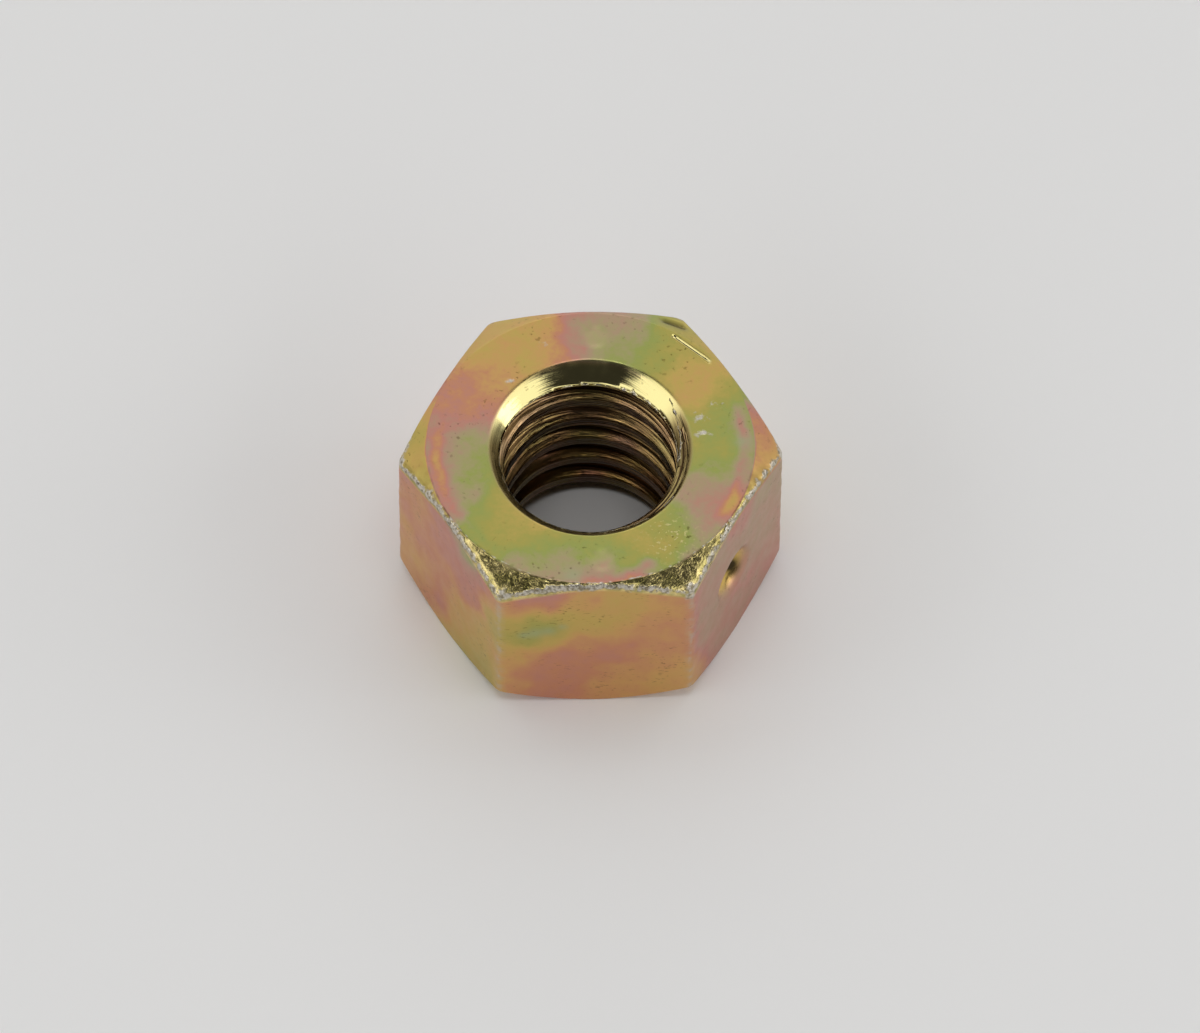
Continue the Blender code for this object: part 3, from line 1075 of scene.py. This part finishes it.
def bore_layer(tree, place, colour, lines):
    """Brown the thread, with painted shade that deepens further down the bore, and dark tool lines
    along it.
    """
    thread = read(tree, "thread")
    # Painted shade: the thread darkens from gold to deep brown further down the bore
    depth = ranged(tree, height_of(tree, place), 1.5, HEIGHT - 0.6)
    bore = blend_colours(tree, depth, DEEP_BROWN, BORE_GOLD)
    colour = blend_colours(tree, multiply(tree, thread, 0.65), colour, bore)
    dark_line = multiply(tree, ranged(tree, lines, 0.56, 0.44), thread)
    return blend_colours(tree, dark_line, colour, DEEP_BROWN)


def polished_layer(tree, colour):
    """Gild the dents, the cone and the bar, and paint shade at the bottom of the dents and in the
    nick.
    """
    colour = blend_colours(tree, read(tree, "dent"), colour, DENT_GOLD)
    # Painted shade at the bottom of the dents and in the nick
    colour = blend_colours(tree, read(tree, "hollow_shade"), colour, HOLLOW_SHADE_COLOUR)
    polished = blend_colours(tree, read(tree, "stained"), BRIGHT_GOLD, STAINED_GOLD)
    return blend_colours(tree, read(tree, "cone"), colour, polished)


def scuffed_layer(tree, place, colour):
    """Streak the rubbed chamfers with dull and bright gold."""
    streaky = ranged(tree, lumps(tree, place, STREAK_LUMPS, 3.0), 0.4, 0.6)
    rubbed_gold = blend_colours(tree, streaky, DULL_GOLD, SCUFFED_GOLD)
    return blend_colours(tree, read(tree, "scuff"), colour, rubbed_gold)


def grime_and_shade_layer(tree, place, colour):
    """Darken what is grimy, and paint shade at the back of the thread and at the sides of the cone's
    front half.
    """
    patches = ranged(tree, lumps(tree, place, GRIME_LUMPS, 3.0), 0.35, 0.6)
    grime_and_shade = multiply(tree, read(tree, "grime"), patches)
    # Painted shade at the back of the thread and at the sides of the cone's front half
    grime_and_shade = calculate(tree, "MAXIMUM", grime_and_shade, read(tree, "cone_and_thread_shade"))
    return blend_colours(tree, grime_and_shade, colour, GRIME_AND_SHADE_TINT, "MULTIPLY")


def pits_and_glints(tree, place):
    """Give the small pits at the front right of the top face, which also carry painted glints."""
    glinting_pit = ranged(tree, lumps(tree, place, GLINTING_PIT_LUMPS, 3.0), 0.58, 0.64)
    return multiply(tree, glinting_pit, read(tree, "pitted_and_glinting"))


def speck_layer(tree, place, colour):
    """Scatter dark, flat specks in patches."""
    inputs = {0: place, 1: (0.6, 0.6, 1.7)}
    flattened = add_node(tree, "ShaderNodeVectorMath", inputs, operation="MULTIPLY").outputs[0]
    patchy = ranged(tree, lumps(tree, place, SPECK_PATCH_LUMPS), 0.45, 0.7)
    speck = ranged(tree, lumps(tree, flattened, SPECK_LUMPS, 3.0), 0.62, 0.68)
    speck = multiply(tree, speck, patchy)
    return blend_colours(tree, multiply(tree, speck, 0.75), colour, SPECK_TINT, "MULTIPLY")


def ragged(tree, place):
    """Give the noise that breaks up the borders of what is worn."""
    return swinging(tree, lumps(tree, place, RAGGED_LUMPS, 3.0), 0.3, 0.7, 0.35)


def bare_share(tree, place):
    """Say where the plating is gone, and where a highlight is painted along the front thread edge."""
    return ranged(tree, calculate(tree, "ADD", read(tree, "wear_and_highlight"), ragged(tree, place)), 0.4, 0.7)


def wear_and_highlight_layer(tree, place, colour):
    """Rub the upright edges pale, and show bare, tarnished metal where the plating is gone and along
    the front thread edge as a painted highlight.
    """
    patches = ranged(tree, ragged(tree, place), -0.15, 0.25, 0.1, 0.7)
    colour = blend_colours(tree, multiply(tree, read(tree, "rub"), patches), colour, RUBBED_EDGE)
    tarnished = ranged(tree, lumps(tree, place, TARNISH_LUMPS, 3.0), 0.45, 0.63)
    below_top_face = ranged(tree, height_of(tree, place), HEIGHT - 0.07, HEIGHT - 0.01, 0.8, 0.0)
    metal = blend_colours(tree, multiply(tree, tarnished, below_top_face), BARE_METAL, TARNISH)
    return blend_colours(tree, bare_share(tree, place), colour, metal)


def plating_colour(tree, place, lines):
    """Lay the colours over each other."""
    colour = film_layer(tree, place)
    colour = bore_layer(tree, place, colour, lines)
    colour = polished_layer(tree, colour)
    colour = scuffed_layer(tree, place, colour)
    colour = grime_and_shade_layer(tree, place, colour)
    # Painted glints: bright gold spots in the pits at the front right of the top face
    colour = blend_colours(tree, pits_and_glints(tree, place), colour, BRIGHT_GOLD)
    colour = speck_layer(tree, place, colour)
    return wear_and_highlight_layer(tree, place, colour)


def plating_roughness(tree, place):
    """Give each zone its roughness, a little mottled."""
    cone_roughness = blend_numbers(tree, read(tree, "stained"), CONE_ROUGHNESS, STAINED_ROUGHNESS)
    roughness = blend_numbers(tree, read(tree, "thread"), PLATED_ROUGHNESS, THREAD_ROUGHNESS)
    roughness = blend_numbers(tree, read(tree, "cone"), roughness, cone_roughness)
    roughness = blend_numbers(tree, read(tree, "dent"), roughness, DENT_ROUGHNESS)
    roughness = blend_numbers(tree, read(tree, "scuff"), roughness, SCUFFED_ROUGHNESS)
    roughness = blend_numbers(tree, bare_share(tree, place), roughness, BARE_ROUGHNESS)
    mottle = swinging(tree, lumps(tree, place, MOTTLE_LUMPS, 3.0), 0.3, 0.7, 0.05)
    return calculate(tree, "ADD", roughness, mottle)


def plating_relief(tree, place, lines):
    """Give the fine relief: the film's peel, pits, tool lines, scuffs and crumpled metal."""
    outside_cone = ranged(tree, read(tree, "cone"), 0, 1, 1, 0.3)
    peel = multiply(tree, lumps(tree, place, PEEL_LUMPS, 3.0), outside_cone)
    normal = bump(tree, peel, PEEL_DEPTH)
    normal = bump(tree, pits_and_glints(tree, place), PIT_DEPTH, normal)
    normal = bump(tree, multiply(tree, lines, read(tree, "thread")), TOOL_LINE_DEPTH, normal)
    scuffs = ranged(tree, lumps(tree, place, SCUFF_LUMPS, 4.0), 0.45, 0.8)
    normal = bump(tree, multiply(tree, scuffs, read(tree, "scuff")), SCUFF_DEPTH, normal)
    crumples = multiply(tree, lumps(tree, place, CRUMPLE_LUMPS, 3.0), bare_share(tree, place))
    return bump(tree, crumples, BARE_METAL_DEPTH, normal)


def plating():
    """Make yellow zinc plating: film colours, dirt specks, bare edges, gritty chamfers."""
    material = bpy.data.materials.new("yellow_zinc_plating")
    material.use_nodes = True
    tree = material.node_tree
    shader = tree.nodes["Principled BSDF"]
    shader.inputs["Metallic"].default_value = 1.0
    place = millimetre_place(tree)
    lines = tool_lines(tree, place)
    tree.links.new(plating_colour(tree, place, lines), shader.inputs["Base Color"])
    tree.links.new(plating_roughness(tree, place), shader.inputs["Roughness"])
    tree.links.new(plating_relief(tree, place, lines), shader.inputs["Normal"])
    return material


# The studio

FLOOR_SIZE = 12
PAPER_COLOUR = (0.93, 0.925, 0.915, 1)

# The tent round the scene: how bright it is at the sides, at the back, overhead and in its opening
SIDE_LEVEL = 1.4
BACK_LEVEL = 0.72
OVERHEAD_LEVEL = 0.5
DARK_LEVEL = 0.035
HORIZON_SHARE = 0.12
# Between which parts of a unit direction one brightness turns into the next
WALL_TURN = (0.1, 0.5)
BACK_EDGE = (0.3, 0.7)
HORIZON_EDGE = (0.18, 0.30)
OVERHEAD_EDGE = (0.93, 0.97)
# The opening lies between three planes: these are their normals, which point into it
OPENING_PLANES = [(0.666, 0.205, 0.717), (-0.669, 0.178, 0.722), (0, -0.97, 0.26)]
OPENING_SOFTNESS = 0.03

# Name, azimuth and elevation in degrees, width, height, radiance. Azimuth 0 is behind the nut
SOFT_BOXES = [
    ("overhead", 180, 81, 0.3, 0.12, 2.6),
    ("right", 90, 16, 0.2, 0.18, 1.2),
    ("back", 0, 18, 0.3, 0.06, 1.6),
]
LAMP_DISTANCE = 0.5

# The camera's place, as fitted to the photograph
CAMERA_AZIMUTH = radians(-2.026)
CAMERA_ELEVATION = radians(55.744)
CAMERA_ROLL = radians(0.371)
CAMERA_DISTANCE = 334.363 * MM
CAMERA_TARGET = Vector((0.351, 1.606, 0)) * MM
LENS = 336.08


def paper():
    """Make the floor's pale matt colour."""
    material = bpy.data.materials.new("pale_paper")
    material.use_nodes = True
    shader = material.node_tree.nodes["Principled BSDF"]
    shader.inputs["Base Color"].default_value = PAPER_COLOUR
    shader.inputs["Roughness"].default_value = 0.9
    shader.inputs["Specular IOR Level"].default_value = 0.2
    return material


def floor():
    """Lay the floor under the nut."""
    bpy.ops.mesh.primitive_plane_add(size=FLOOR_SIZE)
    plane = bpy.context.object
    plane.name = "floor"
    plane.data.materials.append(paper())
    return plane


def soft_box(name, azimuth, elevation, width, height, radiance):
    """Hang a soft box round the nut."""
    turn, rise = radians(azimuth), radians(elevation)
    away = Vector((sin(turn) * cos(rise), cos(turn) * cos(rise), sin(rise)))
    lamp = bpy.data.lights.new(name, "AREA")
    lamp.shape = "RECTANGLE"
    lamp.size, lamp.size_y = width, height
    lamp.energy = radiance * pi * width * height
    holder = bpy.data.objects.new(name, lamp)
    holder.location = away * LAMP_DISTANCE
    holder.rotation_euler = away.to_track_quat("Z", "Y").to_euler()
    bpy.context.scene.collection.objects.link(holder)


def in_opening(tree, direction):
    """Say whether a direction goes out through the tent's opening."""
    inside = 1.0
    for normal in OPENING_PLANES:
        inputs = {0: direction, 1: normal}
        past = add_node(tree, "ShaderNodeVectorMath", inputs, operation="DOT_PRODUCT").outputs["Value"]
        inside = multiply(tree, ranged(tree, past, -OPENING_SOFTNESS, OPENING_SOFTNESS), inside)
    return inside


def world():
    """Surround the scene with a pale tent, open at the front, and dim at the horizon."""
    room = bpy.data.worlds.new("room")
    room.use_nodes = True
    tree = room.node_tree
    direction = add_node(tree, "ShaderNodeTexCoord").outputs["Generated"]
    parts = add_node(tree, "ShaderNodeSeparateXYZ", {0: direction}).outputs
    wall = ranged(tree, parts["Y"], *WALL_TURN, SIDE_LEVEL, BACK_LEVEL)
    level = blend_numbers(tree, in_opening(tree, direction), wall, DARK_LEVEL)
    level = blend_numbers(tree, ranged(tree, parts["Z"], *OVERHEAD_EDGE), level, OVERHEAD_LEVEL)
    dim = blend_numbers(tree, ranged(tree, parts["Y"], *BACK_EDGE), HORIZON_SHARE, 1.0)
    share = blend_numbers(tree, ranged(tree, parts["Z"], *HORIZON_EDGE), dim, 1.0)
    background = tree.nodes["Background"]
    background.inputs["Color"].default_value = (1, 1, 1, 1)
    tree.links.new(multiply(tree, level, share), background.inputs["Strength"])
    bpy.context.scene.world = room


def camera():
    """Set the camera where the photograph's was, turned and framed as it was."""
    level = cos(CAMERA_ELEVATION)
    back = Vector((sin(CAMERA_AZIMUTH) * level, -cos(CAMERA_AZIMUTH) * level, sin(CAMERA_ELEVATION)))
    right = Vector((cos(CAMERA_AZIMUTH), sin(CAMERA_AZIMUTH), 0))
    up = back.cross(right)
    rolled_right = cos(CAMERA_ROLL) * right + sin(CAMERA_ROLL) * up
    rolled_up = cos(CAMERA_ROLL) * up - sin(CAMERA_ROLL) * right
    lens = bpy.data.cameras.new("camera")
    lens.lens = LENS
    lens.sensor_width = 36
    lens.sensor_fit = "HORIZONTAL"
    lens.clip_start = 0.01
    eye = bpy.data.objects.new("camera", lens)
    eye.matrix_world = Matrix((rolled_right, rolled_up, back)).transposed().to_4x4()
    eye.matrix_world.translation = CAMERA_TARGET + CAMERA_DISTANCE * back
    bpy.context.scene.collection.objects.link(eye)
    bpy.context.scene.camera = eye


nut = nut_piece()
nut.data.materials.append(plating())
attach(nut, "root")
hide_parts("lock_nut")

floor()
for box in SOFT_BOXES:
    soft_box(*box)
world()
camera()
bpy.context.scene.view_settings.view_transform = "Standard"
